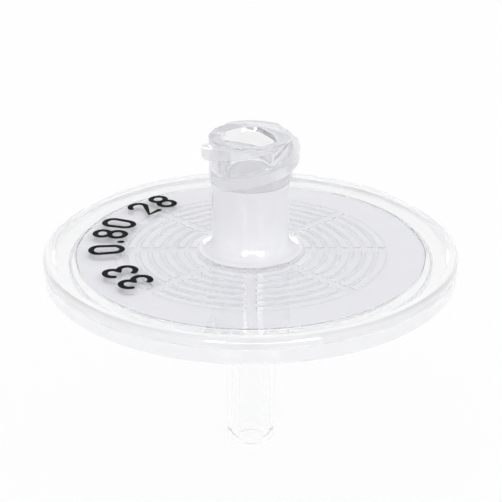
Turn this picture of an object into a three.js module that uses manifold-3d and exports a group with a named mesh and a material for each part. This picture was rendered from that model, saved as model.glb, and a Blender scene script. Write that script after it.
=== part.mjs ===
// Syringe filter, 33 mm class: a flat disc with a female Luer lock inlet above
// and a male Luer slip outlet below. Three pieces make it: an inlet housing and
// an outlet housing in clear plastic, welded at the rim, and the filter membrane
// that they clamp between their ribs.
//
// Millimetres. +Z runs up the flow axis, from the outlet to the inlet. The origin
// is the centre of the outlet tip's end face. Angles start at +X and run
// counter-clockwise, seen from above.

import * as THREE from "three";
import { mergeVertices } from "three/addons/utils/BufferGeometryUtils.js";
import Module from "manifold-3d";

const wasm = await Module();
wasm.setup();

// ---------------------------------------------------------------- Dimensions

// Both Luer cones
const LUER_TAPER = 0.06; // gain in diameter for each millimetre of length

// Disc
const DISC_DIAMETER = 33.6;
const INLET_WALL = 0.6; // inlet plate, without its ribs
const OUTLET_WALL = 1.2; // outlet plate at its edge, without its ribs
const UNDERSIDE_RISE = 0.9; // how far the cone under the outlet plate climbs

// Rim
const BEAD_WIDTH = 0.95;
const BEAD_HEIGHT = 0.2; // above the inlet plate
const BEAD_RADIUS = 0.42; // its rounded outer shoulder
const BEAD_SLOPE = 0.22; // width of its inner flank
const RIM_SKIRT = 1.15; // outlet rim, below the parting line
const RIM_EDGE = 0.15; // rounded bottom edge of the rim
const RIM_FLANGE = 2.0; // how far the rim stands out from the outlet plate
const DRUM_EDGE = 0.35; // rounded edge of the outlet plate
const SEAM_CHAMFER = 0.07; // on each side of the parting line

// Weld joint under the bead
const TONGUE_WIDTH = 0.3;
const TONGUE_DEPTH = 0.35;
const TONGUE_INSET = 0.45; // rim wall outside the groove
const WELD_CLEARANCE = 0.08; // all round the tongue

// Membrane
const MEMBRANE_DIAMETER = 28.32;
const MEMBRANE_THICKNESS = 0.2;
const MEMBRANE_CLAMP = 0.9; // width of its clamped edge
const POCKET_CLEARANCE = 0.15; // from the clamp ring to the pocket wall

// Flow ribs, alike on both plates and facing each other
const RIB_COUNT = 8;
const RIB_OUTER_RADIUS = 11.0;
const RIB_PITCH = 1.0;
const RIB_WIDTH = 0.55;
const RIB_HEIGHT = 0.3;
const CHANNEL_COUNT = 8; // radial channels through the ribs
const CHANNEL_WIDTH = 0.8;

// Inlet hub, a female Luer lock
const HUB_HEIGHT = 9.6; // above the inlet plate
const TUBE_DIAMETER = 6.3;
const TUBE_FILLET = 1.1; // where the tube meets the plate
const HEAD_DIAMETER = 6.64;
const HEAD_LENGTH = 3.7;
const HEAD_EDGE = 0.16; // rounded lower edge of the head
const LIP_CHAMFER = 0.08; // outside of the mouth
const SOCKET_DIAMETER = 4.3; // at the foot of its lead-in
const SOCKET_DEPTH = 7.5;
const SOCKET_LEAD_WIDTH = 0.15; // steep lead-in above the cone
const SOCKET_LEAD_DEPTH = 0.45;
const MOUTH_BEVEL_WIDTH = 0.45;
const MOUTH_BEVEL_DEPTH = 0.15;
const INLET_BORE = 1.8;

// Luer lock thread, right-handed
const THREAD_STARTS = 2;
const THREAD_LEAD = 5.0; // rise in one turn
const THREAD_DIAMETER = 7.8; // over the crests
const THREAD_ROOT_WIDTH = 1.16;
const THREAD_CREST_WIDTH = 0.86;
const THREAD_CORNER = 0.1; // rounded corners of the crest
const THREAD_ROOTING = 0.25; // how deep its section reaches into the head
const THREAD_DROP = 1.34; // crest of the first start below the mouth, at +X
const THREAD_TAIL = 152; // degrees that each start runs down from there
const THREAD_FADE = 30; // degrees over which its lower end grows
const THREAD_MARGIN = 0.04; // from its cut ends to the rounded edges of the head

// Outlet hub, a male Luer slip
const TIP_DIAMETER = 3.97; // at the end face
const TIP_LENGTH = 9.5;
const TIP_EDGE = 0.2; // rounded end
const OUTLET_BORE = 2.0;
const OUTLET_FUNNEL = 0.8; // widening of the bore at the plate
const COLLAR_DIAMETER = 6.4;
const COLLAR_LENGTH = 4.8;
const COLLAR_EDGE = 0.25;
const COLLAR_FILLET = 1.0;

// Roundness of the faceted model
const DISC_SEGMENTS = 52;
const RIB_SEGMENTS = 40;
const ARC_SEGMENTS = 3;

// ------------------------------------------------------------ Derived places

const discRadius = DISC_DIAMETER / 2;
const beadInnerRadius = discRadius - BEAD_WIDTH;
const drumRadius = discRadius - RIM_FLANGE;
const membraneRadius = MEMBRANE_DIAMETER / 2;
const clampInnerRadius = membraneRadius - MEMBRANE_CLAMP;
const pocketRadius = membraneRadius + POCKET_CLEARANCE;
const tongueOuterRadius = discRadius - TONGUE_INSET;
const tongueInnerRadius = tongueOuterRadius - TONGUE_WIDTH;
const headRadius = HEAD_DIAMETER / 2;
const tubeRadius = TUBE_DIAMETER / 2;
const collarRadius = COLLAR_DIAMETER / 2;
const tipRadius = TIP_DIAMETER / 2;

// Heights, from the outlet tip upwards
const shoulderZ = TIP_LENGTH;
const undersideZ = shoulderZ + COLLAR_LENGTH;
const drumBottomZ = undersideZ + UNDERSIDE_RISE;
const outletFloorZ = drumBottomZ + OUTLET_WALL;
const membraneBottomZ = outletFloorZ + RIB_HEIGHT;
const membraneTopZ = membraneBottomZ + MEMBRANE_THICKNESS;
const partingZ = membraneTopZ + RIB_HEIGHT;
const plateTopZ = partingZ + INLET_WALL;
const beadTopZ = plateTopZ + BEAD_HEIGHT;
const mouthZ = plateTopZ + HUB_HEIGHT;
const headBottomZ = mouthZ - HEAD_LENGTH;
const rimBottomZ = partingZ - RIM_SKIRT;

const OVERCUT = 1; // how far a cutting solid runs past what it cuts
const QUARTER = Math.PI / 2; // a quarter turn
const HALF = 0.5;

// -------------------------------------------------------------- Shape makers

// A manifold-3d solid from a closed three.js geometry.
function solidFrom(geometry) {
  const bare = geometry.clone();
  bare.deleteAttribute("normal");
  bare.deleteAttribute("uv");
  const merged = mergeVertices(bare);
  return new wasm.Manifold(
    new wasm.Mesh({
      numProp: 3,
      vertProperties: merged.getAttribute("position").array,
      triVerts: new Uint32Array(merged.index.array),
    }),
  );
}

// A three.js geometry from a manifold-3d solid.
function geometryFrom(solid) {
  const mesh = solid.getMesh();
  const geometry = new THREE.BufferGeometry();
  geometry.setAttribute("position", new THREE.BufferAttribute(mesh.vertProperties, 3));
  geometry.setIndex(new THREE.BufferAttribute(mesh.triVerts, 1));
  const flat = geometry.toNonIndexed();
  flat.computeVertexNormals();
  return flat;
}

// A profile of radius and height turned round the Z axis. It runs
// counter-clockwise, with the radius to the right and the height up.
function turned(path, segments) {
  // getPoints gives an arc twice the number of steps that it is asked for.
  const lathe = new THREE.LatheGeometry(path.getPoints(ARC_SEGMENTS / 2), segments);
  return solidFrom(lathe.rotateX(Math.PI / 2));
}

// A ring of rectangular section.
function ring(inner, outer, bottom, top, segments) {
  const section = new THREE.Path()
    .moveTo(inner, bottom)
    .lineTo(outer, bottom)
    .lineTo(outer, top)
    .lineTo(inner, top)
    .closePath();
  return turned(section, segments);
}

// A cylinder on the Z axis, cut from the bottom up to the top.
function disc(radius, bottom, top, segments) {
  const cylinder = new THREE.CylinderGeometry(radius, radius, top - bottom, segments);
  cylinder.rotateX(Math.PI / 2);
  return cylinder.translate(0, 0, (top + bottom) / 2);
}

// Concentric flow ribs between two heights, parted by the radial channels.
function flowRibs(bottom, top) {
  let ribs = null;
  for (let i = 0; i < RIB_COUNT; i++) {
    const outer = RIB_OUTER_RADIUS - i * RIB_PITCH;
    const rib = ring(outer - RIB_WIDTH, outer, bottom, top, RIB_SEGMENTS);
    ribs = ribs ? ribs.add(rib) : rib;
  }
  const reach = RIB_OUTER_RADIUS + OVERCUT;
  for (let i = 0; i < CHANNEL_COUNT; i++) {
    const channel = new THREE.BoxGeometry(reach, CHANNEL_WIDTH, top - bottom + 2 * OVERCUT);
    channel.translate(reach / 2, 0, (top + bottom) / 2);
    channel.rotateZ((i * 2 * Math.PI) / CHANNEL_COUNT);
    ribs = ribs.subtract(solidFrom(channel));
  }
  return ribs;
}

// One start of the Luer lock thread: its section is extruded to a straight bar,
// which is then wrapped round the hub as it rises.
function threadStart(angle) {
  const root = headRadius - THREAD_ROOTING;
  const crest = THREAD_DIAMETER / 2 - root;
  const halfRoot = THREAD_ROOT_WIDTH / 2;
  const halfCrest = THREAD_CREST_WIDTH / 2;
  const section = new THREE.Shape()
    .moveTo(0, -halfRoot)
    .lineTo(crest - THREAD_CORNER, -halfCrest - THREAD_CORNER)
    .lineTo(crest, -halfCrest)
    .lineTo(crest, halfCrest)
    .lineTo(crest - THREAD_CORNER, halfCrest + THREAD_CORNER)
    .lineTo(0, halfRoot)
    .closePath();
  // The section's y turns into -Z, which keeps the wrapped bar's faces pointing out.
  // Its steps match the facets of the head, and its crest leaves the head's
  // surface in the middle of the first one, so that the two meet cleanly.
  const facet = (2 * Math.PI) / DISC_SEGMENTS;
  const risePerRadian = THREAD_LEAD / (2 * Math.PI);
  const runOut = (THREAD_DROP + halfRoot) / risePerRadian;
  const tailSteps = Math.round(THREE.MathUtils.degToRad(THREAD_TAIL) / facet);
  const steps = tailSteps + Math.ceil(runOut / facet);
  const bar = new THREE.ExtrudeGeometry(section, { depth: steps, steps, bevelEnabled: false });
  const fadeSteps = THREE.MathUtils.degToRad(THREAD_FADE) / facet;
  const position = bar.getAttribute("position");
  for (let i = 0; i < position.count; i++) {
    const step = position.getZ(i);
    const turn = (step - tailSteps) * facet;
    const grown = Math.min(1, (step - HALF) / (fadeSteps - HALF));
    const share = (THREAD_ROOTING + (crest - THREAD_ROOTING) * grown) / crest;
    const radius = root + position.getX(i) * share;
    const height = mouthZ - THREAD_DROP + turn * risePerRadian - position.getY(i);
    position.setXYZ(i, radius * Math.cos(turn), radius * Math.sin(turn), height);
  }
  bar.rotateZ(angle);
  return solidFrom(bar);
}

// -------------------------------------------------------------------- Pieces

// The inlet housing without ribs and thread: plate, clamp ring, weld tongue and
// bead, then the hub with its Luer socket and the bore down to the plate.
function inletBody() {
  const tongueZ = partingZ - TONGUE_DEPTH;
  const footRadius = tubeRadius + TUBE_FILLET;
  const headEdgeRadius = headRadius - HEAD_EDGE;
  const mouthRadius = SOCKET_DIAMETER / 2;
  const leadRadius = mouthRadius + SOCKET_LEAD_WIDTH;
  const socketBottomZ = mouthZ - SOCKET_DEPTH;
  const socketBottomRadius = mouthRadius - (LUER_TAPER * SOCKET_DEPTH) / 2;
  const boreRadius = INLET_BORE / 2;
  const profile = new THREE.Path()
    .moveTo(boreRadius, partingZ)
    .lineTo(clampInnerRadius, partingZ)
    .lineTo(clampInnerRadius, membraneTopZ)
    .lineTo(membraneRadius, membraneTopZ)
    .lineTo(membraneRadius, partingZ)
    .lineTo(tongueInnerRadius, partingZ)
    .lineTo(tongueInnerRadius, tongueZ)
    .lineTo(tongueOuterRadius, tongueZ)
    .lineTo(tongueOuterRadius, partingZ)
    .lineTo(discRadius - SEAM_CHAMFER, partingZ)
    .lineTo(discRadius, partingZ + SEAM_CHAMFER)
    .absarc(discRadius - BEAD_RADIUS, beadTopZ - BEAD_RADIUS, BEAD_RADIUS, 0, QUARTER)
    .lineTo(beadInnerRadius + BEAD_SLOPE, beadTopZ)
    .lineTo(beadInnerRadius, plateTopZ)
    .lineTo(footRadius, plateTopZ)
    .absarc(footRadius, plateTopZ + TUBE_FILLET, TUBE_FILLET, 3 * QUARTER, 2 * QUARTER, true)
    .lineTo(tubeRadius, headBottomZ)
    .lineTo(headEdgeRadius, headBottomZ)
    .absarc(headEdgeRadius, headBottomZ + HEAD_EDGE, HEAD_EDGE, 3 * QUARTER, 4 * QUARTER)
    .lineTo(headRadius, mouthZ - LIP_CHAMFER)
    .lineTo(headRadius - LIP_CHAMFER, mouthZ)
    .lineTo(leadRadius + MOUTH_BEVEL_WIDTH, mouthZ)
    .lineTo(leadRadius, mouthZ - MOUTH_BEVEL_DEPTH)
    .lineTo(mouthRadius, mouthZ - MOUTH_BEVEL_DEPTH - SOCKET_LEAD_DEPTH)
    .lineTo(socketBottomRadius, socketBottomZ)
    .lineTo(boreRadius, socketBottomZ - (socketBottomRadius - boreRadius) / 2)
    .closePath();
  return turned(profile, DISC_SEGMENTS);
}

function inletHousing() {
  const threadBottomZ = headBottomZ + HEAD_EDGE + THREAD_MARGIN;
  const threadTopZ = mouthZ - LIP_CHAMFER - THREAD_MARGIN;
  const threadBand = solidFrom(disc(THREAD_DIAMETER, threadBottomZ, threadTopZ, DISC_SEGMENTS));
  let housing = inletBody().add(flowRibs(membraneTopZ, partingZ + INLET_WALL / 2));
  for (let i = 0; i < THREAD_STARTS; i++) {
    const start = threadStart((i * 2 * Math.PI) / THREAD_STARTS);
    housing = housing.add(start.intersect(threadBand));
  }
  return geometryFrom(housing);
}

function membrane() {
  return disc(membraneRadius, membraneBottomZ, membraneTopZ, DISC_SEGMENTS);
}

// The outlet housing without ribs: tip, collar, plate with its rim, weld groove
// and membrane seat, and the bore with its funnel.
function outletBody() {
  const grooveInner = tongueInnerRadius - WELD_CLEARANCE;
  const grooveOuter = tongueOuterRadius + WELD_CLEARANCE;
  const grooveZ = partingZ - TONGUE_DEPTH - WELD_CLEARANCE;
  const tipEdgeRadius = tipRadius - TIP_EDGE;
  const tipRootRadius = tipRadius + (LUER_TAPER * TIP_LENGTH) / 2;
  const collarEdgeRadius = collarRadius - COLLAR_EDGE;
  const collarTopZ = undersideZ - COLLAR_FILLET;
  const drumEdgeRadius = drumRadius - DRUM_EDGE;
  const rimEdgeRadius = discRadius - RIM_EDGE;
  const boreRadius = OUTLET_BORE / 2;
  const profile = new THREE.Path()
    .moveTo(boreRadius, 0)
    .lineTo(tipEdgeRadius, 0)
    .absarc(tipEdgeRadius, TIP_EDGE, TIP_EDGE, 3 * QUARTER, 4 * QUARTER)
    .lineTo(tipRootRadius, shoulderZ)
    .lineTo(collarEdgeRadius, shoulderZ)
    .absarc(collarEdgeRadius, shoulderZ + COLLAR_EDGE, COLLAR_EDGE, 3 * QUARTER, 4 * QUARTER)
    .absarc(collarRadius + COLLAR_FILLET, collarTopZ, COLLAR_FILLET, 2 * QUARTER, QUARTER, true)
    .lineTo(drumEdgeRadius, drumBottomZ)
    .absarc(drumEdgeRadius, drumBottomZ + DRUM_EDGE, DRUM_EDGE, 3 * QUARTER, 4 * QUARTER)
    .lineTo(drumRadius, rimBottomZ)
    .lineTo(rimEdgeRadius, rimBottomZ)
    .absarc(rimEdgeRadius, rimBottomZ + RIM_EDGE, RIM_EDGE, 3 * QUARTER, 4 * QUARTER)
    .lineTo(discRadius, partingZ - SEAM_CHAMFER)
    .lineTo(discRadius - SEAM_CHAMFER, partingZ)
    .lineTo(grooveOuter, partingZ)
    .lineTo(grooveOuter, grooveZ)
    .lineTo(grooveInner, grooveZ)
    .lineTo(grooveInner, partingZ)
    .lineTo(pocketRadius, partingZ)
    .lineTo(pocketRadius, membraneBottomZ)
    .lineTo(clampInnerRadius, membraneBottomZ)
    .lineTo(clampInnerRadius, outletFloorZ)
    .lineTo(boreRadius + OUTLET_FUNNEL, outletFloorZ)
    .lineTo(boreRadius, outletFloorZ - OUTLET_FUNNEL)
    .closePath();
  return turned(profile, DISC_SEGMENTS);
}

function outletHousing() {
  const ribs = flowRibs(outletFloorZ - OUTLET_WALL / 2, membraneBottomZ);
  return geometryFrom(outletBody().add(ribs));
}

// ------------------------------------------------------------------ Assembly

const clearPlastic = {
  color: 0xeef1f3,
  roughness: 0.06,
  metalness: 0,
  transparent: true,
  opacity: 0.35,
};

function piece(name, geometry, finish) {
  const mesh = new THREE.Mesh(geometry, new THREE.MeshStandardMaterial(finish));
  mesh.name = name;
  return mesh;
}

const group = new THREE.Group();
group.add(piece("outlet_housing", outletHousing(), clearPlastic));
group.add(piece("membrane", membrane(), { color: 0xe4e4e8, roughness: 0.9, metalness: 0 }));
group.add(piece("inlet_housing", inletHousing(), clearPlastic));

export default group;
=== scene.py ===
"""Syringe filter in clear plastic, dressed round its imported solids, on a pale studio floor."""

import math

import bmesh
import bpy
from bpy.props import (
    FloatProperty,
    FloatVectorProperty,
    IntProperty,
    PointerProperty,
    StringProperty,
)
from mathutils import Matrix, Vector


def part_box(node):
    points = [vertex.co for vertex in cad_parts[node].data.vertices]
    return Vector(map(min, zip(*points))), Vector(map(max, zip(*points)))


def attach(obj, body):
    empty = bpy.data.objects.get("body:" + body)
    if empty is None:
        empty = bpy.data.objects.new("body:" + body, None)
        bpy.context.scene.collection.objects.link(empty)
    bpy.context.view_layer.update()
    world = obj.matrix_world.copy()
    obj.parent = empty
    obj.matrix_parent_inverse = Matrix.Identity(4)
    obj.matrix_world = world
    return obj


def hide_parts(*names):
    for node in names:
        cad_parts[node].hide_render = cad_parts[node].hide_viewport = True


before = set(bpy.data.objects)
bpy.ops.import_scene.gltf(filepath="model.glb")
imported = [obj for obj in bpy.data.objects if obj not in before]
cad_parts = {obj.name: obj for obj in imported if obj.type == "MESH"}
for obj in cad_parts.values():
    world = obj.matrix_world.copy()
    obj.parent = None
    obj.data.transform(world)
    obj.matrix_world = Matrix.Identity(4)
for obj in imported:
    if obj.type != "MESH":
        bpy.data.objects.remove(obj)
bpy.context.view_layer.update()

bl_info = {
    "name": "Syringe Filter",
    "version": (1, 0, 0),
    "blender": (4, 5, 0),
    "location": "View3D > Sidebar > Filter",
    "description": "Models a clear disc filter with Luer fittings, its print and its studio",
    "category": "Add Mesh",
}

MM = 0.001

# Places that the solids give
INLET_LOW, INLET_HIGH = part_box("inlet_housing")
OUTLET_LOW, OUTLET_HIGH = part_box("outlet_housing")
MEMBRANE_LOW, MEMBRANE_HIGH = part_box("membrane")
DISC_RADIUS = (INLET_HIGH[0] - INLET_LOW[0]) / 2
MEMBRANE_RADIUS = (MEMBRANE_HIGH[0] - MEMBRANE_LOW[0]) / 2
MOUTH_Z = INLET_HIGH[2]
PARTING_Z = OUTLET_HIGH[2]
TIP_Z = OUTLET_LOW[2]

COLUMNS_PER_CHANNEL = 24  # columns of faces from one radial channel to the next
THREAD_ROWS = 120  # rows of faces down the head that the threads are raised from
SAME = 1e-7  # places closer than this count as one
SUPPORT = 0.05 * MM  # keeps the flats flat where they meet a rounded edge

# Slots of the housing plastics, and how clear each is and how rough it gets
CLEAR, RIM, HEAD, HUB, THREAD, EDGE_SHADE = range(6)
PLASTICS = (
    ("Clear Plastic", "clear", 1.0, 0.02),
    ("Rim Plastic", "rim", 0.3, 0.01),
    ("Head Plastic", "head", 0.75, 0.02),
    ("Hub Plastic", "hub", 0.15, 0.02),
    ("Thread Plastic", "thread", 0.5, 0.02),
    # The edge plastic is darker: painted shade below the edges of the head and under the threads
    ("Edge Plastic", "edge", 0.85, 0.02),
)
HAZE_TINT = 0.985  # colour of the plastic where its haze is thickest
FILM_TINT = 0.975  # colour of the film where it is cloudiest
NOISE_LOW, NOISE_HIGH = 0.35, 0.65  # where most values of a noise lie
# Painted shade and painted light on the tube: darker up its fillet, where the upward faces catch
# more light, and paler at its very foot, where its contact shadow falls
HUB_SHADE_FADE = (0.5 * MM, 1.3 * MM)  # above the plate, where the tint of the tube's foot fades
HUB_LIGHT_FADE = (0.0, 0.1 * MM)  # above the plate, where the tint of the fillet's edge fades
# Painted light on the film: paler below the tube, where the tube's shadow falls
FILM_LIGHT_FADE = (4.0 * MM, 5.5 * MM)  # radii where the tint of the film's centre fades

# The grey card of the light tent: where it stands, half its width and height, and its grey
CARD_PLACE = (0, 0.912, 0.41)
CARD_WIDTH, CARD_HEIGHT = 0.22, 0.1
CARD_GREY = 0.88

# Soft lamps: name, bearing in degrees, height, distance, width and height, radiance
LAMPS = (
    ("lamp_left", 252, 0.14, 0.5, (0.08, 0.32), 20),
    ("lamp_right", 299, 0.14, 0.5, (0.12, 0.32), 26),
    ("lamp_front", 275.5, 0.06, 0.5, (0.38, 0.08), 8),
    ("lamp_back_left", 104, 0.05, 0.5, (0.06, 0.16), 7),
    ("lamp_back_right", 76, 0.05, 0.5, (0.06, 0.16), 7),
)


def length(name, description, default):
    """A size in millimetres as a property in metres."""
    return FloatProperty(
        name=name, description=description, default=default * MM, unit="LENGTH", precision=5
    )


def angle(name, description, default):
    """An angle in degrees as a property in radians."""
    return FloatProperty(
        name=name, description=description, default=math.radians(default), subtype="ANGLE"
    )


def tint(name, description, default):
    """A colour as a property."""
    return FloatVectorProperty(
        name=name, description=description, default=default, subtype="COLOR"
    )


# ------------------------------------------------------------------ Settings


class DiscSettings(bpy.types.PropertyGroup):
    """Sizes of the disc, its rim and its flow ribs."""

    inlet_wall: length("Inlet Wall", "Thickness of the inlet plate", 0.6)
    outlet_wall: length("Outlet Wall", "Thickness of the outlet plate at its edge", 1.2)
    bead_width: length("Bead Width", "Width of the raised bead round the rim", 0.95)
    bead_height: length("Bead Height", "Height of the bead above the plate", 0.2)
    bead_radius: length("Bead Radius", "Rounded outer shoulder of the bead", 0.42)
    bead_slope: length("Bead Slope", "Width of the bead's inner flank", 0.22)
    rim_skirt: length("Rim Skirt", "Height of the rim below the seam", 1.3)
    rim_edge: length("Rim Edge", "Rounded bottom edge of the rim", 0.3)
    rim_flange: length("Rim Flange", "Overhang of the rim past the outlet plate", 2.0)
    drum_edge: length("Plate Edge", "Rounded edge of the outlet plate", 0.35)
    underside_rise: length("Underside Rise", "Rise of the cone under the outlet plate", 0.9)
    seam_chamfer: length("Seam Chamfer", "Chamfer on each side of the seam", 0.07)
    seam_gap: length("Seam Gap", "Air film between the two housings", 0.02)
    clamp_width: length("Clamp Width", "Width of the clamped edge of the membrane", 0.9)
    pocket_clearance: length("Pocket Clearance", "Space round the clamp ring", 0.15)
    rib_count: IntProperty(name="Ribs", description="Flow ribs on each plate", default=8)
    rib_outer: length("Rib Radius", "Outer radius of the largest rib", 11.0)
    rib_pitch: length("Rib Pitch", "Spacing of the ribs", 1.0)
    rib_width: length("Rib Width", "Width of a rib", 0.55)
    rib_height: length("Rib Height", "Height of a rib", 0.3)
    rib_relief: length("Rib Relief", "Height of an inlet rib above the floor of its channels", 0.12)
    rib_draft: length("Rib Draft", "Slope of the sides of a rib", 0.05)
    channel_count: IntProperty(name="Channels", description="Radial flow channels", default=8)
    channel_width: length("Channel Width", "Width of a radial channel", 0.8)


class InletSettings(bpy.types.PropertyGroup):
    """Sizes of the inlet tube, its socket and its lock thread."""

    tube_diameter: length("Tube Diameter", "Outside of the tube", 6.3)
    tube_fillet: length("Tube Fillet", "Fillet from the tube to the plate", 1.1)
    head_diameter: length("Head Diameter", "Outside of the head", 6.64)
    head_length: length("Head Length", "Length of the head", 3.7)
    head_edge: length("Head Edge", "Rounded lower edge of the head", 0.16)
    lip_chamfer: length("Lip Chamfer", "Chamfer outside the mouth", 0.08)
    socket_diameter: length("Socket Diameter", "Luer socket at its mouth", 4.3)
    socket_depth: length("Socket Depth", "Depth of the Luer socket", 7.5)
    lead_width: length("Lead-in Width", "Width of the steep lead-in of the socket", 0.15)
    lead_depth: length("Lead-in Depth", "Depth of the steep lead-in of the socket", 0.45)
    mouth_bevel_width: length("Mouth Bevel Width", "Width of the bevel inside the mouth", 0.45)
    mouth_bevel_depth: length("Mouth Bevel Depth", "Depth of the bevel inside the mouth", 0.15)
    bore: length("Bore", "Bore from the socket to the plate", 1.8)
    taper: FloatProperty(
        name="Luer Taper", description="Gain in diameter over the length", default=0.06
    )
    thread_diameter: length("Thread Diameter", "Over the crests", 7.8)
    thread_lead: length("Thread Lead", "Rise in one turn", 5.0)
    thread_root: length("Thread Root", "Width of a thread at its root", 1.16)
    thread_crest: length("Thread Crest", "Width of a thread at its crest", 0.86)
    thread_drop: length("Thread Drop", "First crest below the mouth, at +X", 1.34)
    thread_margin: length("Thread Margin", "From the cut threads to the edges of the head", 0.04)
    thread_starts: IntProperty(name="Thread Starts", description="Number of starts", default=2)
    thread_tail: angle("Thread Tail", "How far each start runs down from its first crest", 152)
    thread_fade: angle("Thread Fade", "Angle over which the lower end of a start grows", 30)


class OutletSettings(bpy.types.PropertyGroup):
    """Sizes of the outlet tip and its collar."""

    tip_diameter: length("Tip Diameter", "Luer tip at its end face", 3.97)
    tip_length: length("Tip Length", "Length of the Luer tip", 9.5)
    tip_edge: length("Tip Edge", "Rounded end of the tip", 0.2)
    bore: length("Bore", "Bore through the tip", 2.0)
    funnel: length("Funnel", "Widening of the bore at the plate", 0.8)
    collar_diameter: length("Collar Diameter", "Outside of the collar", 6.4)
    collar_length: length("Collar Length", "Length of the collar", 4.8)
    collar_edge: length("Collar Edge", "Rounded lower edge of the collar", 0.25)
    collar_fillet: length("Collar Fillet", "Fillet from the collar to the plate", 1.0)


class PrintSettings(bpy.types.PropertyGroup):
    """The numerals printed on the inlet plate."""

    text: StringProperty(name="Text", description="Numerals to print", default="33   0.80  28")
    shift: FloatVectorProperty(
        name="Shift",
        description="Centre of the arc of numerals",
        subtype="TRANSLATION",
        unit="LENGTH",
        default=(-0.3 * MM, 0.85 * MM, 0),
    )
    baseline: length("Baseline Radius", "Radius of the feet of the numerals", 10.0)
    height: length("Height", "Height of the numerals", 3.0)
    stroke: length("Stroke", "Width of the pen stroke", 0.48)
    ink: length("Ink Thickness", "Thickness of the ink", 0.02)
    spacing: length("Spacing", "Space between two numerals", 0.45)
    word_space: length("Word Space", "Width of a blank", 0.73)
    start: angle("Start", "Angle of the first numeral, from +X and counter-clockwise", 226.2)


class FinishSettings(bpy.types.PropertyGroup):
    """Colours and gloss of the finishes."""

    clear: tint("Clear Plastic", "Tint of the housings", (0.994, 0.995, 0.998))
    rim: tint("Rim Plastic", "Tint of the thick rim", (0.99, 0.99, 1.0))
    head: tint("Head Plastic", "Tint of the threaded head", (0.998, 0.998, 1.0))
    thread: tint("Thread Plastic", "Tint of the threads", (0.92, 0.92, 0.94))
    # Painted shade: a darker tint on the faces below the edges of the head and under the threads
    edge: tint("Edge Plastic", "Tint below the edges of the head", (0.7, 0.7, 0.74))
    hub: tint("Hub Plastic", "Tint of the tube", (0.895, 0.895, 0.92))
    # Painted shade up the tube's fillet, then painted light at its very foot, where its contact
    # shadow falls
    hub_painted_shade: tint("Hub Foot", "Tint at the foot of the tube", (0.8, 0.8, 0.825))
    hub_painted_light: tint("Hub Edge", "Tint where the tube runs out on the plate", (0.92, 0.92, 0.94))
    refraction: FloatProperty(name="Refraction", description="Index of the plastic", default=1.49)
    membrane: tint("Membrane", "Colour of the filter film", (0.85, 0.85, 0.885))
    # Painted light: a paler film below the tube, where the tube's shadow falls
    membrane_painted_light: tint("Membrane Centre", "Film below the tube", (0.99, 0.99, 0.99))
    ink: tint("Ink", "Colour of the print", (0.006, 0.006, 0.007))


class StageSettings(bpy.types.PropertyGroup):
    """Camera, floor and light."""

    elevation: angle("Elevation", "Camera above the horizon", 24.15)
    distance: length("Distance", "Camera to the disc", 117.5)
    disc_height: length("Disc Height", "Height that the distance is measured to", 17.5)
    aim_height: length("Aim Height", "Height of the point that the camera looks at", 17.37)
    aim_shift: length("Aim Shift", "Sideways shift of the point that the camera looks at", 0.03)
    lens: FloatProperty(name="Lens", description="Focal length in millimetres", default=103.1)
    floor_size: length("Floor", "Width of the floor", 4000.0)
    floor_gap: length("Floor Gap", "Air between the tip and the floor", 0.02)
    daylight: FloatProperty(
        name="Daylight", description="Strength of the surroundings", default=1.0
    )


# ------------------------------------------------------------- Mesh helpers


def arc(centre, radius, start, end, steps, radius_y=None):
    """Points of a round stretch of a profile, or of an elliptic one where a second radius
    is given, between two angles in degrees."""
    radius_y = radius_y or radius
    points = []
    for i in range(steps + 1):
        turn = math.radians(start + (end - start) * i / steps)
        points.append((centre[0] + radius * math.cos(turn), centre[1] + radius_y * math.sin(turn)))
    return points


def straight(start, end, steps):
    """Points of a straight stretch of a profile, both ends included."""
    return [
        (start[0] + (end[0] - start[0]) * i / steps, start[1] + (end[1] - start[1]) * i / steps)
        for i in range(steps + 1)
    ]


def spun(profile, columns):
    """A bmesh of a closed profile of radius and height, spun round the Z axis."""
    bm = bmesh.new()
    verts = [bm.verts.new((radius, 0, height)) for radius, height in profile]
    edges = [bm.edges.new((verts[i - 1], verts[i])) for i in range(len(verts))]
    bmesh.ops.spin(
        bm,
        geom=verts + edges,
        cent=(0, 0, 0),
        axis=(0, 0, 1),
        angle=2 * math.pi,
        steps=columns,
        use_merge=True,
        use_duplicate=False,
    )
    bmesh.ops.remove_doubles(bm, verts=bm.verts, dist=1e-8)
    return bm


def cylindrical(vert):
    """Radius, angle from 0 to a full turn, and height of a vertex."""
    x, y, z = vert.co
    return math.hypot(x, y), math.atan2(y, x) % (2 * math.pi), z


def finished(bm, name, *materials, crease=30):
    """The bmesh as a piece of the object, smooth but for its edges over the crease angle."""
    bmesh.ops.recalc_face_normals(bm, faces=bm.faces)
    mesh = bpy.data.meshes.new(name)
    bm.to_mesh(mesh)
    bm.free()
    for polygon in mesh.polygons:
        polygon.use_smooth = True
    mesh.set_sharp_from_angle(angle=math.radians(crease))
    for material in materials:
        mesh.materials.append(material)
    piece = bpy.data.objects.new(name, mesh)
    bpy.context.scene.collection.objects.link(piece)
    return piece


def rib_profile(disc, foot, crest):
    """Rib sections from the inside out, between the plate at foot and the crests."""
    points = []
    for i in reversed(range(disc.rib_count)):
        outer = disc.rib_outer - i * disc.rib_pitch
        inner = outer - disc.rib_width
        points += [
            (inner - disc.rib_draft, foot),
            (inner, crest),
            (outer, crest),
            (outer + disc.rib_draft, foot),
        ]
    return points


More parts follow.
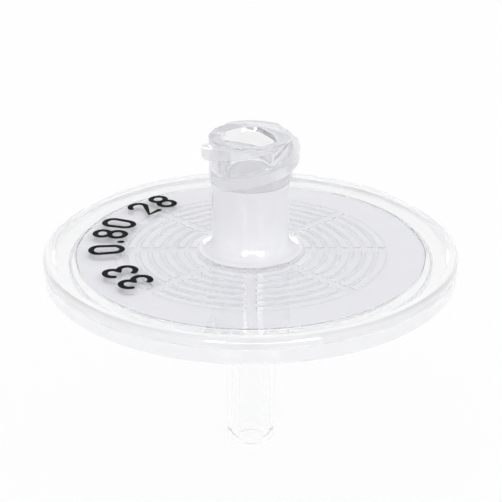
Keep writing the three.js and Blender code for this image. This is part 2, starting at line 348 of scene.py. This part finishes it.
def cut_channels(bm, disc, foot, crest):
    """Opens the radial channels through the ribs of a spun plate. The columns of faces
    next to a channel are moved onto its two walls, and the ribs between them go flat."""
    count = disc.channel_count
    columns = count * COLUMNS_PER_CHANNEL
    wall = disc.channel_width / 2
    offsets = {1: wall, 2: wall + disc.rib_draft}
    smallest = disc.rib_outer - (disc.rib_count - 1) * disc.rib_pitch
    inner = smallest - disc.rib_width - 2 * disc.rib_draft
    outer = disc.rib_outer + 2 * disc.rib_draft
    half = math.pi / count
    for vert in bm.verts:
        radius, angle, height = cylindrical(vert)
        on_ribs = min(abs(height - foot), abs(height - crest)) < SAME
        if not (on_ribs and inner < radius < outer):
            continue
        column = round(angle / (2 * math.pi) * columns) % columns
        channel, place = divmod(column, COLUMNS_PER_CHANNEL)
        mirrored = place > COLUMNS_PER_CHANNEL / 2
        steps = COLUMNS_PER_CHANNEL - place if mirrored else place
        if steps in offsets:
            turn = math.asin(offsets[steps] / radius)
        elif steps:
            first = math.asin(offsets[2] / radius)
            turn = first + (half - first) * (steps - 2) / (COLUMNS_PER_CHANNEL / 2 - 2)
        else:
            turn = 0.0
        base = 2 * math.pi * (channel + mirrored) / count
        angle = base - turn if mirrored else base + turn
        if steps < 2 and abs(height - crest) < SAME:
            height = foot
        vert.co = (radius * math.cos(angle), radius * math.sin(angle), height)


# -------------------------------------------------------------- Node groups


def add(tree, kind, values=None, **settings):
    """A new node with its settings, and with values for its inputs by name or number."""
    node = tree.nodes.new("ShaderNode" + kind)
    for name, value in settings.items():
        setattr(node, name, value)
    for socket, value in (values or {}).items():
        node.inputs[socket].default_value = value
    return node


def link(tree, *rows):
    """Links, each from the output of one node to the input of another."""
    for source, output, target, socket in rows:
        tree.links.new(source.outputs[output], target.inputs[socket])


def new_material(name):
    """A material with only a Principled shader and its output."""
    material = bpy.data.materials.new(name)
    material.use_nodes = True
    return material, material.node_tree, material.node_tree.nodes["Principled BSDF"]


def moulding_group():
    """Moulded surface: a slow ripple and faint haze, for clear and printed plastic alike."""
    name = "Moulded Surface"
    if name in bpy.data.node_groups:
        return bpy.data.node_groups[name]
    group = bpy.data.node_groups.new(name, "ShaderNodeTree")
    for title, value in (
        ("Ripple Size", 300.0),
        ("Ripple Depth", 0.1),
        ("Gloss Low", 0.0),
        ("Gloss High", 0.02),
    ):
        socket = group.interface.new_socket(
            name=title, in_out="INPUT", socket_type="NodeSocketFloat"
        )
        socket.default_value = value
    for title in ("Roughness", "Height", "Haze"):
        group.interface.new_socket(name=title, in_out="OUTPUT", socket_type="NodeSocketFloat")
    start = group.nodes.new("NodeGroupInput")
    end = group.nodes.new("NodeGroupOutput")
    spread = {"From Min": NOISE_LOW, "From Max": NOISE_HIGH}
    coords = add(group, "TexCoord")
    ripple = add(group, "TexNoise", {"Detail": 1.0})
    haze = add(group, "TexNoise", {"Scale": 900.0, "Detail": 4.0})
    gloss = add(group, "MapRange", spread)
    cloud = add(group, "MapRange", spread)
    depth = add(group, "Math", operation="MULTIPLY")
    link(
        group,
        (coords, "Object", ripple, "Vector"),
        (coords, "Object", haze, "Vector"),
        (start, "Ripple Size", ripple, "Scale"),
        (ripple, "Fac", depth, 0),
        (start, "Ripple Depth", depth, 1),
        (haze, "Fac", gloss, "Value"),
        (start, "Gloss Low", gloss, "To Min"),
        (start, "Gloss High", gloss, "To Max"),
        (haze, "Fac", cloud, "Value"),
        (gloss, "Result", end, "Roughness"),
        (depth, "Value", end, "Height"),
        (cloud, "Result", end, "Haze"),
    )
    return group


def plastic(name, colour, index, transmission, roughest):
    """Moulded plastic with a faint haze in its tint and its gloss."""
    material, tree, shader = new_material(name)
    shader.inputs["IOR"].default_value = index
    shader.inputs["Transmission Weight"].default_value = transmission
    surface = add(tree, "Group", node_tree=moulding_group())
    surface.inputs["Gloss High"].default_value = roughest
    hazy = (*[c * HAZE_TINT for c in colour], 1)
    tone = add(tree, "Mix", data_type="RGBA")
    tone.inputs["A"].default_value = hazy
    tone.inputs["B"].default_value = (*colour, 1)
    link(
        tree,
        (surface, "Haze", tone, "Factor"),
        (tone, "Result", shader, "Base Color"),
        (surface, "Roughness", shader, "Roughness"),
    )
    return material


def height_ramp(material, low_colour, low, high, power):
    """Blends another colour into the base colour of a material, full up to the low height
    and gone at the high one. A power over 1 keeps more of it in between."""
    tree = material.node_tree
    shader = tree.nodes["Principled BSDF"]
    coords = add(tree, "TexCoord")
    split = add(tree, "SeparateXYZ")
    height = add(tree, "MapRange", {"From Min": low, "From Max": high})
    ease = add(tree, "Math", {1: power}, operation="POWER")
    tone = add(tree, "Mix", data_type="RGBA")
    tone.inputs["A"].default_value = (*low_colour, 1)
    tree.links.new(shader.inputs["Base Color"].links[0].from_socket, tone.inputs["B"])
    link(
        tree,
        (coords, "Object", split, 0),
        (split, "Z", height, "Value"),
        (height, "Result", ease, 0),
        (ease, 0, tone, "Factor"),
        (tone, "Result", shader, "Base Color"),
    )


def housing_plastics(finish):
    """The clear plastic of both housings, made once. It looks milkier where it is thicker:
    on the rim, the threaded head, the threads and the tube. Its darker tint below the edges
    of the head is painted shade, and the tube has painted shade up its fillet and painted
    light at its very foot."""
    names = [name for name, *_ in PLASTICS]
    if names[0] in bpy.data.materials:
        return [bpy.data.materials[name] for name in names]
    materials = [
        plastic(name, getattr(finish, colour), finish.refraction, transmission, roughest)
        for name, colour, transmission, roughest in PLASTICS
    ]
    plate_top = PARTING_Z + bpy.context.scene.filter_disc.inlet_wall
    foot, edge = ([plate_top + rise for rise in fade] for fade in (HUB_SHADE_FADE, HUB_LIGHT_FADE))
    # Painted shade up the tube's fillet, and painted light at its very foot
    height_ramp(materials[HUB], finish.hub_painted_shade, *foot, 2.0)
    height_ramp(materials[HUB], finish.hub_painted_light, *edge, 1.0)
    return materials


def plastic_zone(face, disc, inlet):
    """Which of the housing plastics a face is made of."""
    near = 0.001 * MM
    place = face.calc_center_median()
    radius = math.hypot(place.x, place.y)
    plate_top = PARTING_Z + disc.inlet_wall + near
    if radius > DISC_RADIUS - disc.bead_width:
        return RIM
    if place.z < PARTING_Z + near:
        outward = Vector((place.x, place.y, 0)) / max(radius, 1e-9)
        rib_floor = MEMBRANE_LOW[2] - disc.rib_height
        on_ribs = place.z > rib_floor and radius < disc.rib_outer * 1.01
        is_wall = abs(face.normal.dot(outward)) > 0.8
        return HUB if on_ribs and is_wall else CLEAR
    in_socket = inlet.bore / 2 * 1.01 < radius < inlet.socket_diameter / 2 + inlet.lead_width
    if in_socket and place.z > plate_top:
        return CLEAR
    if place.z < MOUTH_Z - inlet.head_length:
        return CLEAR if place.z < plate_top else HUB
    # Down-facing faces of the head get painted shade, below its edge and under the threads
    if face.normal.z < -0.2:
        return EDGE_SHADE
    return THREAD if radius > inlet.head_diameter / 2 + SUPPORT else HEAD


def membrane_film(finish):
    """White microporous film with a faint cloudy fibre structure, and painted light below the tube:
    a paler tint where the tube's shadow falls.
    """
    material, tree, shader = new_material("Membrane Film")
    shader.inputs["Roughness"].default_value = 0.85
    shader.inputs["Specular IOR Level"].default_value = 0.25
    coords = add(tree, "TexCoord")
    cloud = add(tree, "TexNoise", {"Scale": 350.0, "Detail": 6.0})
    pores = add(tree, "TexNoise", {"Scale": 9000.0, "Detail": 3.0})
    tone = add(tree, "Mix", data_type="RGBA")
    tone.inputs["A"].default_value = (*[c * FILM_TINT for c in finish.membrane], 1)
    tone.inputs["B"].default_value = (*finish.membrane, 1)
    flat = add(tree, "VectorMath", {1: (1, 1, 0)}, operation="MULTIPLY")
    radius = add(tree, "VectorMath", operation="LENGTH")
    # Painted light: the film goes paler towards the middle, where the tube's shadow falls
    near, far = FILM_LIGHT_FADE
    lit_middle = add(
        tree, "MapRange", {"From Min": near, "From Max": far, "To Min": 1.0, "To Max": 0.0}
    )
    centre = add(tree, "Mix", data_type="RGBA")
    centre.inputs["B"].default_value = (*finish.membrane_painted_light, 1)
    bump = add(tree, "Bump", {"Strength": 0.3, "Distance": 0.02 * MM})
    link(
        tree,
        (coords, "Object", cloud, "Vector"),
        (coords, "Object", pores, "Vector"),
        (coords, "Object", flat, 0),
        (flat, "Vector", radius, 0),
        (radius, "Value", lit_middle, "Value"),
        (lit_middle, "Result", centre, "Factor"),
        (cloud, "Fac", tone, "Factor"),
        (tone, "Result", centre, "A"),
        (centre, "Result", shader, "Base Color"),
        (pores, "Fac", bump, "Height"),
        (bump, "Normal", shader, "Normal"),
    )
    return material


def print_ink(finish):
    """Black pad-printed ink, a little uneven in its gloss."""
    material, tree, shader = new_material("Print Ink")
    shader.inputs["Base Color"].default_value = (*finish.ink, 1)
    shader.inputs["Specular IOR Level"].default_value = 0.02
    surface = add(tree, "Group", node_tree=moulding_group())
    surface.inputs["Gloss Low"].default_value = 0.35
    surface.inputs["Gloss High"].default_value = 0.6
    bump = add(tree, "Bump", {"Strength": 0.1, "Distance": 0.01 * MM})
    link(
        tree,
        (surface, "Roughness", shader, "Roughness"),
        (surface, "Height", bump, "Height"),
        (bump, "Normal", shader, "Normal"),
    )
    return material


# ------------------------------------------------------------------- Pieces


def inlet_profile(disc, inlet):
    """Closed profile of the inlet housing, counter-clockwise from the foot of its bore."""
    plate_top = PARTING_Z + disc.inlet_wall
    bead_top = plate_top + disc.bead_height
    bead_inner = DISC_RADIUS - disc.bead_width
    draft = disc.rib_draft
    tube = inlet.tube_diameter / 2
    foot = tube + inlet.tube_fillet
    head = inlet.head_diameter / 2
    head_bottom = MOUTH_Z - inlet.head_length
    head_edge = (head - inlet.head_edge, head_bottom + inlet.head_edge)
    thread_bottom = head_edge[1] + inlet.thread_margin
    thread_top = MOUTH_Z - inlet.lip_chamfer - inlet.thread_margin
    mouth = inlet.socket_diameter / 2
    lead = mouth + inlet.lead_width
    socket_bottom = MOUTH_Z - inlet.socket_depth
    socket_foot = mouth - inlet.taper * inlet.socket_depth / 2
    bore = inlet.bore / 2
    ceiling = MEMBRANE_HIGH[2] + disc.rib_relief
    shoulder = (DISC_RADIUS - disc.bead_radius, bead_top - disc.bead_radius)
    flank_x, flank_z = disc.bead_slope, disc.bead_height
    return [
        (bore, ceiling),
        *rib_profile(disc, ceiling, MEMBRANE_HIGH[2]),
        (MEMBRANE_RADIUS, ceiling),
        (MEMBRANE_RADIUS + draft, PARTING_Z),
        (DISC_RADIUS - disc.seam_chamfer, PARTING_Z),
        (DISC_RADIUS, PARTING_Z + disc.seam_chamfer),
        *arc(shoulder, disc.bead_radius, 0, 90, 8),
        # The inner flank of the bead, eased at its head and its foot
        (bead_inner + flank_x, bead_top),
        (bead_inner + flank_x * 0.7, bead_top - flank_z * 0.12),
        (bead_inner + flank_x * 0.3, plate_top + flank_z * 0.12),
        (bead_inner, plate_top),
        (bead_inner - SUPPORT, plate_top),
        (MEMBRANE_RADIUS, plate_top),
        (foot + SUPPORT, plate_top),
        *arc((foot, plate_top + inlet.tube_fillet), inlet.tube_fillet, 270, 180, 12),
        (tube, plate_top + inlet.tube_fillet + SUPPORT),
        (tube, head_bottom - SUPPORT),
        (tube, head_bottom),
        *arc(head_edge, inlet.head_edge, 270, 360, 5),
        *straight((head, thread_bottom), (head, thread_top), THREAD_ROWS),
        (head, thread_top + inlet.thread_margin / 4),
        (head, MOUTH_Z - inlet.lip_chamfer),
        (head - inlet.lip_chamfer, MOUTH_Z),
        (lead + inlet.mouth_bevel_width, MOUTH_Z),
        (lead, MOUTH_Z - inlet.mouth_bevel_depth),
        (mouth, MOUTH_Z - inlet.mouth_bevel_depth - inlet.lead_depth),
        (socket_foot, socket_bottom),
        (bore, socket_bottom - (socket_foot - bore) / 2),
    ]


def raise_thread(bm, inlet):
    """Swells the head's wall into the starts of the lock thread. They are cut off flat
    at the top of the head, and their lower ends grow out of its wall."""
    head = inlet.head_diameter / 2
    head_bottom = MOUTH_Z - inlet.head_length + inlet.head_edge
    bottom = head_bottom + inlet.thread_margin / 2
    top = MOUTH_Z - inlet.lip_chamfer - inlet.thread_margin * 0.9
    depth = inlet.thread_diameter / 2 - head
    rise = inlet.thread_lead / (2 * math.pi)
    half_root, half_crest = inlet.thread_root / 2, inlet.thread_crest / 2
    full = 2 * math.pi
    for vert in bm.verts:
        radius, angle, height = cylindrical(vert)
        if abs(radius - head) > SAME or not bottom < height < top:
            continue
        swell = 0.0
        for start in range(inlet.thread_starts):
            turn = (angle - full * start / inlet.thread_starts + inlet.thread_tail) % full
            turn -= inlet.thread_tail
            centre = MOUTH_Z - inlet.thread_drop + turn * rise
            share = (half_root - abs(height - centre)) / (half_root - half_crest)
            share = min(1.0, max(0.0, share))
            grown = min(1.0, (turn + inlet.thread_tail) / inlet.thread_fade)
            swell = max(swell, grown * share * share * (3 - 2 * share))
        vert.co.xy *= 1 + swell * depth / head


class FILTER_OT_inlet_housing(bpy.types.Operator):
    """Model the inlet housing with its ribs, hub and lock thread"""

    bl_idname = "filter.inlet_housing"
    bl_label = "Inlet Housing"

    def execute(self, context):
        scene = context.scene
        disc, inlet = scene.filter_disc, scene.filter_inlet
        columns = disc.channel_count * COLUMNS_PER_CHANNEL
        bm = spun(inlet_profile(disc, inlet), columns)
        cut_channels(bm, disc, MEMBRANE_HIGH[2] + disc.rib_relief, MEMBRANE_HIGH[2])
        raise_thread(bm, inlet)
        bmesh.ops.recalc_face_normals(bm, faces=bm.faces)
        for face in bm.faces:
            face.material_index = plastic_zone(face, disc, inlet)
        plastics = housing_plastics(scene.filter_finish)
        piece = finished(bm, "inlet_housing_clear", *plastics, crease=40)
        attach(piece, "root")
        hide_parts("inlet_housing")
        return {"FINISHED"}


def outlet_profile(disc, outlet, taper):
    """Closed profile of the outlet housing, counter-clockwise from its tip."""
    rim_bottom = PARTING_Z - disc.rim_skirt
    seam = PARTING_Z - disc.seam_gap
    seat = MEMBRANE_LOW[2]
    floor = seat - disc.rib_height
    shoulder = TIP_Z + outlet.tip_length
    underside = shoulder + outlet.collar_length
    drum_bottom = underside + disc.underside_rise
    drum = DISC_RADIUS - disc.rim_flange
    clamp_inner = MEMBRANE_RADIUS - disc.clamp_width
    pocket = MEMBRANE_RADIUS + disc.pocket_clearance
    draft = disc.rib_draft
    tip = outlet.tip_diameter / 2
    tip_root = tip + taper * outlet.tip_length / 2
    collar = outlet.collar_diameter / 2
    bore = outlet.bore / 2
    fillet = outlet.collar_fillet
    tip_edge, collar_edge = outlet.tip_edge, outlet.collar_edge
    drum_edge, rim_edge = disc.drum_edge, disc.rim_edge
    return [
        (bore, TIP_Z),
        *arc((tip - tip_edge, TIP_Z + tip_edge), tip_edge, 270, 360, 6),
        (tip_root, shoulder),
        *arc((collar - collar_edge, shoulder + collar_edge), collar_edge, 270, 360, 6),
        *arc((collar + fillet, underside - fillet), fillet, 180, 90, 10),
        *arc((drum - drum_edge, drum_bottom + drum_edge), drum_edge, 270, 360, 8),
        (drum, rim_bottom),
        *arc((DISC_RADIUS - rim_edge, rim_bottom + rim_edge), rim_edge, 270, 360, 6),
        (DISC_RADIUS, seam - disc.seam_chamfer),
        (DISC_RADIUS - disc.seam_chamfer, seam),
        (pocket + draft, seam),
        (pocket, seat),
        (clamp_inner, seat),
        (clamp_inner - draft, floor),
        *reversed(rib_profile(disc, floor, seat)),
        (bore + outlet.funnel, floor),
        (bore, floor - outlet.funnel),
    ]


class FILTER_OT_outlet_housing(bpy.types.Operator):
    """Model the outlet housing with its support ribs, collar and Luer tip"""

    bl_idname = "filter.outlet_housing"
    bl_label = "Outlet Housing"

    def execute(self, context):
        scene = context.scene
        disc, inlet, outlet = scene.filter_disc, scene.filter_inlet, scene.filter_outlet
        columns = disc.channel_count * COLUMNS_PER_CHANNEL
        bm = spun(outlet_profile(disc, outlet, inlet.taper), columns)
        seat = MEMBRANE_LOW[2]
        cut_channels(bm, disc, seat - disc.rib_height, seat)
        bmesh.ops.recalc_face_normals(bm, faces=bm.faces)
        for face in bm.faces:
            face.material_index = plastic_zone(face, disc, inlet)
        piece = finished(bm, "outlet_housing_clear", *housing_plastics(scene.filter_finish))
        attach(piece, "root")
        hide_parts("outlet_housing")
        return {"FINISHED"}


class FILTER_OT_membrane(bpy.types.Operator):
    """Model the filter membrane between the two housings"""

    bl_idname = "filter.membrane"
    bl_label = "Membrane"

    def execute(self, context):
        scene = context.scene
        film = 0.01 * MM  # air between the film and the ribs
        low, high = MEMBRANE_LOW[2] + film, MEMBRANE_HIGH[2] - film
        bm = bmesh.new()
        bmesh.ops.create_cone(
            bm,
            cap_ends=True,
            cap_tris=False,
            segments=scene.filter_disc.channel_count * COLUMNS_PER_CHANNEL,
            radius1=MEMBRANE_RADIUS,
            radius2=MEMBRANE_RADIUS,
            depth=high - low,
        )
        bmesh.ops.translate(bm, verts=bm.verts, vec=(0, 0, (low + high) / 2))
        piece = finished(bm, "membrane_film", membrane_film(scene.filter_finish))
        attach(piece, "root")
        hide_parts("membrane")
        return {"FINISHED"}


def bow(x, y, rx, ry, start, end):
    """Points of a curved pen stroke, between two angles in degrees."""
    return arc((x, y), rx, start, end, max(8, round(abs(end - start) / 12)), ry)


# Width and pen strokes of each numeral, on a grid one unit high
NUMERALS = {
    "0": (
        0.54,
        [
            bow(0.28, 0.72, 0.28, 0.28, 0, 180)
            + bow(0.28, 0.28, 0.28, 0.28, 180, 360)
            + [(0.56, 0.72)]
        ],
    ),
    "2": (0.54, [bow(0.28, 0.74, 0.27, 0.26, 165, -25) + [(0.0, 0.0), (0.56, 0.0)]]),
    "3": (
        0.54,
        [bow(0.27, 0.76, 0.25, 0.24, 160, -90) + bow(0.27, 0.26, 0.29, 0.26, 90, -160)],
    ),
    "8": (
        0.54,
        [bow(0.28, 0.76, 0.24, 0.24, -90, 270), bow(0.28, 0.26, 0.28, 0.26, 90, 450)],
    ),
    ".": (0.0, [[(0.0, 0.02), (0.0, 0.08)]]),
}


class FILTER_OT_print(bpy.types.Operator):
    """Print the numerals on the inlet plate"""

    bl_idname = "filter.print"
    bl_label = "Print"

    def execute(self, context):
        scene = context.scene
        ink = scene.filter_print
        surface = PARTING_Z + scene.filter_disc.inlet_wall
        inset = ink.height - ink.stroke
        radius = ink.baseline + ink.height / 2
        curve = bpy.data.curves.new("print_numerals", "CURVE")
        curve.dimensions = "3D"
        curve.bevel_depth = ink.stroke / 2
        curve.bevel_resolution = 3
        curve.use_fill_caps = True
        ends = []
        along = 0.0
        for sign in ink.text:
            if sign == " ":
                along += ink.word_space
                continue
            width, strokes = NUMERALS[sign]
            for stroke in strokes:
                spline = curve.splines.new("POLY")
                spline.points.add(len(stroke) - 1)
                places = []
                for point, (x, y) in zip(spline.points, stroke):
                    turn = ink.start - (along + ink.stroke / 2 + x * inset) / radius
                    out = ink.baseline + ink.stroke / 2 + y * inset
                    place = Vector((out * math.cos(turn), out * math.sin(turn), 0))
                    places.append(place + Vector(ink.shift))
                    point.co = (*places[-1], 1)
                ends += [places[0], places[-1]]
            along += width * inset + ink.stroke + ink.spacing
        pen = bpy.data.objects.new("print_numerals", curve)
        mesh = bpy.data.meshes.new_from_object(pen)
        bpy.data.objects.remove(pen)
        bm = bmesh.new()
        bm.from_mesh(mesh)
        bpy.data.meshes.remove(mesh)
        for end in ends:
            bmesh.ops.create_icosphere(
                bm, subdivisions=2, radius=ink.stroke / 2, matrix=Matrix.Translation(end)
            )
        flatten = ink.ink / ink.stroke
        bmesh.ops.scale(bm, verts=bm.verts, vec=(1, 1, flatten))
        bmesh.ops.translate(bm, verts=bm.verts, vec=(0, 0, surface + ink.ink * 0.55))
        piece = finished(bm, "print_numerals", print_ink(scene.filter_finish))
        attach(piece, "root")
        return {"FINISHED"}


# -------------------------------------------------------------------- Stage


def floor_material():
    """Pale floor: white where it is looked at, with the object's soft shadow."""
    material = bpy.data.materials.new("Studio Floor")
    material.use_nodes = True
    tree = material.node_tree
    tree.nodes.clear()
    output = add(tree, "OutputMaterial")
    matte = add(tree, "BsdfDiffuse", {"Color": (0.95, 0.95, 0.95, 1)})
    glow = add(tree, "Emission")
    blend = add(tree, "MixShader")
    rays = add(tree, "LightPath")
    seen = add(tree, "Math", operation="MAXIMUM")
    looked = add(tree, "Math", operation="MAXIMUM")
    share = add(tree, "Math", {1: 0.85}, operation="MULTIPLY")
    link(
        tree,
        (rays, "Is Camera Ray", seen, 0),
        (rays, "Is Glossy Ray", seen, 1),
        (seen, 0, looked, 0),
        (rays, "Is Transmission Ray", looked, 1),
        (looked, 0, share, 0),
        (share, 0, blend, 0),
        (matte, 0, blend, 1),
        (glow, 0, blend, 2),
        (blend, 0, output, "Surface"),
    )
    return material


def studio_world(strength):
    """Surroundings of a light tent: white all round, with a grey card behind the disc
    that its flat plate reflects towards the camera."""
    world = bpy.data.worlds.new("Light Tent")
    bpy.context.scene.world = world
    world.use_nodes = True
    tree = world.node_tree
    tree.nodes.clear()
    output = add(tree, "OutputWorld")
    coords = add(tree, "TexCoord")
    split = add(tree, "SeparateXYZ")
    ramp = add(tree, "ValToRGB")
    low, high = ramp.color_ramp.elements
    low.position, low.color = 0.0, (0.9, 0.9, 0.91, 1)
    high.position, high.color = 0.3, (1, 1, 1, 1)
    offset = add(tree, "VectorMath", {1: CARD_PLACE}, operation="SUBTRACT")
    shape = add(
        tree, "VectorMath", {1: (1 / CARD_WIDTH, 0, 1 / CARD_HEIGHT)}, operation="MULTIPLY"
    )
    reach = add(tree, "VectorMath", operation="LENGTH")
    edge = add(
        tree, "MapRange", {"From Min": 0.7, "From Max": 1.2, "To Min": CARD_GREY, "To Max": 1.0}
    )
    behind = add(tree, "Math", {1: 0.0}, operation="LESS_THAN")
    shade = add(tree, "Math", operation="MAXIMUM")
    card = add(tree, "VectorMath", operation="SCALE")
    tent = add(tree, "Background", {"Strength": strength})
    white = add(tree, "Background", {"Color": (1, 1, 1, 1)})
    rays = add(tree, "LightPath")
    blend = add(tree, "MixShader")
    link(
        tree,
        (coords, "Generated", split, 0),
        (coords, "Generated", offset, 0),
        (offset, 0, shape, 0),
        (shape, 0, reach, 0),
        (reach, "Value", edge, "Value"),
        (split, "Y", behind, 0),
        (edge, "Result", shade, 0),
        (behind, 0, shade, 1),
        (split, "Z", ramp, "Fac"),
        (ramp, "Color", card, 0),
        (shade, 0, card, "Scale"),
        (card, 0, tent, "Color"),
        (rays, "Is Camera Ray", blend, 0),
        (tent, 0, blend, 1),
        (white, 0, blend, 2),
        (blend, 0, output, "Surface"),
    )


def softbox(name, bearing, height, distance, size, radiance):
    """A soft lamp that stands round the disc and faces it. Its bearing is in degrees
    from +X, counter-clockwise, and the camera stands at 270."""
    data = bpy.data.lights.new(name, "AREA")
    data.shape = "RECTANGLE"
    data.size, data.size_y = size
    data.energy = radiance * math.pi * size[0] * size[1]
    lamp = bpy.data.objects.new(name, data)
    bpy.context.scene.collection.objects.link(lamp)
    turn = math.radians(bearing)
    lamp.location = (distance * math.cos(turn), distance * math.sin(turn), height)
    aim = Vector((0, 0, PARTING_Z)) - lamp.location
    lamp.rotation_euler = aim.to_track_quat("-Z", "Y").to_euler()
    lamp.visible_camera = False
    lamp.visible_diffuse = False
    lamp.visible_transmission = False


class FILTER_OT_stage(bpy.types.Operator):
    """Set up the floor, the light and the camera"""

    bl_idname = "filter.stage"
    bl_label = "Stage"

    def execute(self, context):
        scene = context.scene
        stage = scene.filter_stage
        bm = bmesh.new()
        bmesh.ops.create_grid(bm, x_segments=1, y_segments=1, size=stage.floor_size / 2)
        mesh = bpy.data.meshes.new("studio_floor")
        bm.to_mesh(mesh)
        bm.free()
        mesh.materials.append(floor_material())
        floor = bpy.data.objects.new("studio_floor", mesh)
        scene.collection.objects.link(floor)
        floor.location.z = TIP_Z - stage.floor_gap
        studio_world(stage.daylight)
        for lamp in LAMPS:
            softbox(*lamp)
        data = bpy.data.cameras.new("studio_camera")
        data.lens = stage.lens
        data.clip_start = 0.005
        data.clip_end = 20
        camera = bpy.data.objects.new("studio_camera", data)
        scene.collection.objects.link(camera)
        lift = Vector((0, -math.cos(stage.elevation), math.sin(stage.elevation)))
        camera.location = Vector((0, 0, stage.disc_height)) + lift * stage.distance
        aim = Vector((stage.aim_shift, 0, stage.aim_height)) - camera.location
        camera.rotation_euler = aim.to_track_quat("-Z", "Y").to_euler()
        scene.camera = camera
        scene.view_settings.view_transform = "Standard"
        scene.cycles.max_bounces = 32
        scene.cycles.diffuse_bounces = 24
        scene.cycles.transmission_bounces = 32
        scene.cycles.glossy_bounces = 24
        scene.cycles.blur_glossy = 0.0
        return {"FINISHED"}


class FILTER_PT_panel(bpy.types.Panel):
    """Lists the steps that build the filter and its studio"""

    bl_idname = "FILTER_PT_panel"
    bl_label = "Syringe Filter"
    bl_space_type = "VIEW_3D"
    bl_region_type = "UI"
    bl_category = "Filter"

    def draw(self, context):
        for step in STEPS:
            self.layout.operator(step.bl_idname)


STEPS = (
    FILTER_OT_inlet_housing,
    FILTER_OT_outlet_housing,
    FILTER_OT_membrane,
    FILTER_OT_print,
    FILTER_OT_stage,
)
SETTINGS = {
    "filter_disc": DiscSettings,
    "filter_inlet": InletSettings,
    "filter_outlet": OutletSettings,
    "filter_print": PrintSettings,
    "filter_finish": FinishSettings,
    "filter_stage": StageSettings,
}


def register():
    for name, group in SETTINGS.items():
        bpy.utils.register_class(group)
        setattr(bpy.types.Scene, name, PointerProperty(type=group))
    for cls in (*STEPS, FILTER_PT_panel):
        bpy.utils.register_class(cls)


def unregister():
    for cls in reversed((*STEPS, FILTER_PT_panel)):
        bpy.utils.unregister_class(cls)
    for name, group in reversed(SETTINGS.items()):
        delattr(bpy.types.Scene, name)
        bpy.utils.unregister_class(group)


def main():
    """Builds every piece and the stage."""
    register()
    for step in STEPS:
        group, name = step.bl_idname.split(".")
        getattr(getattr(bpy.ops, group), name)()


if __name__ == "__main__":
    main()
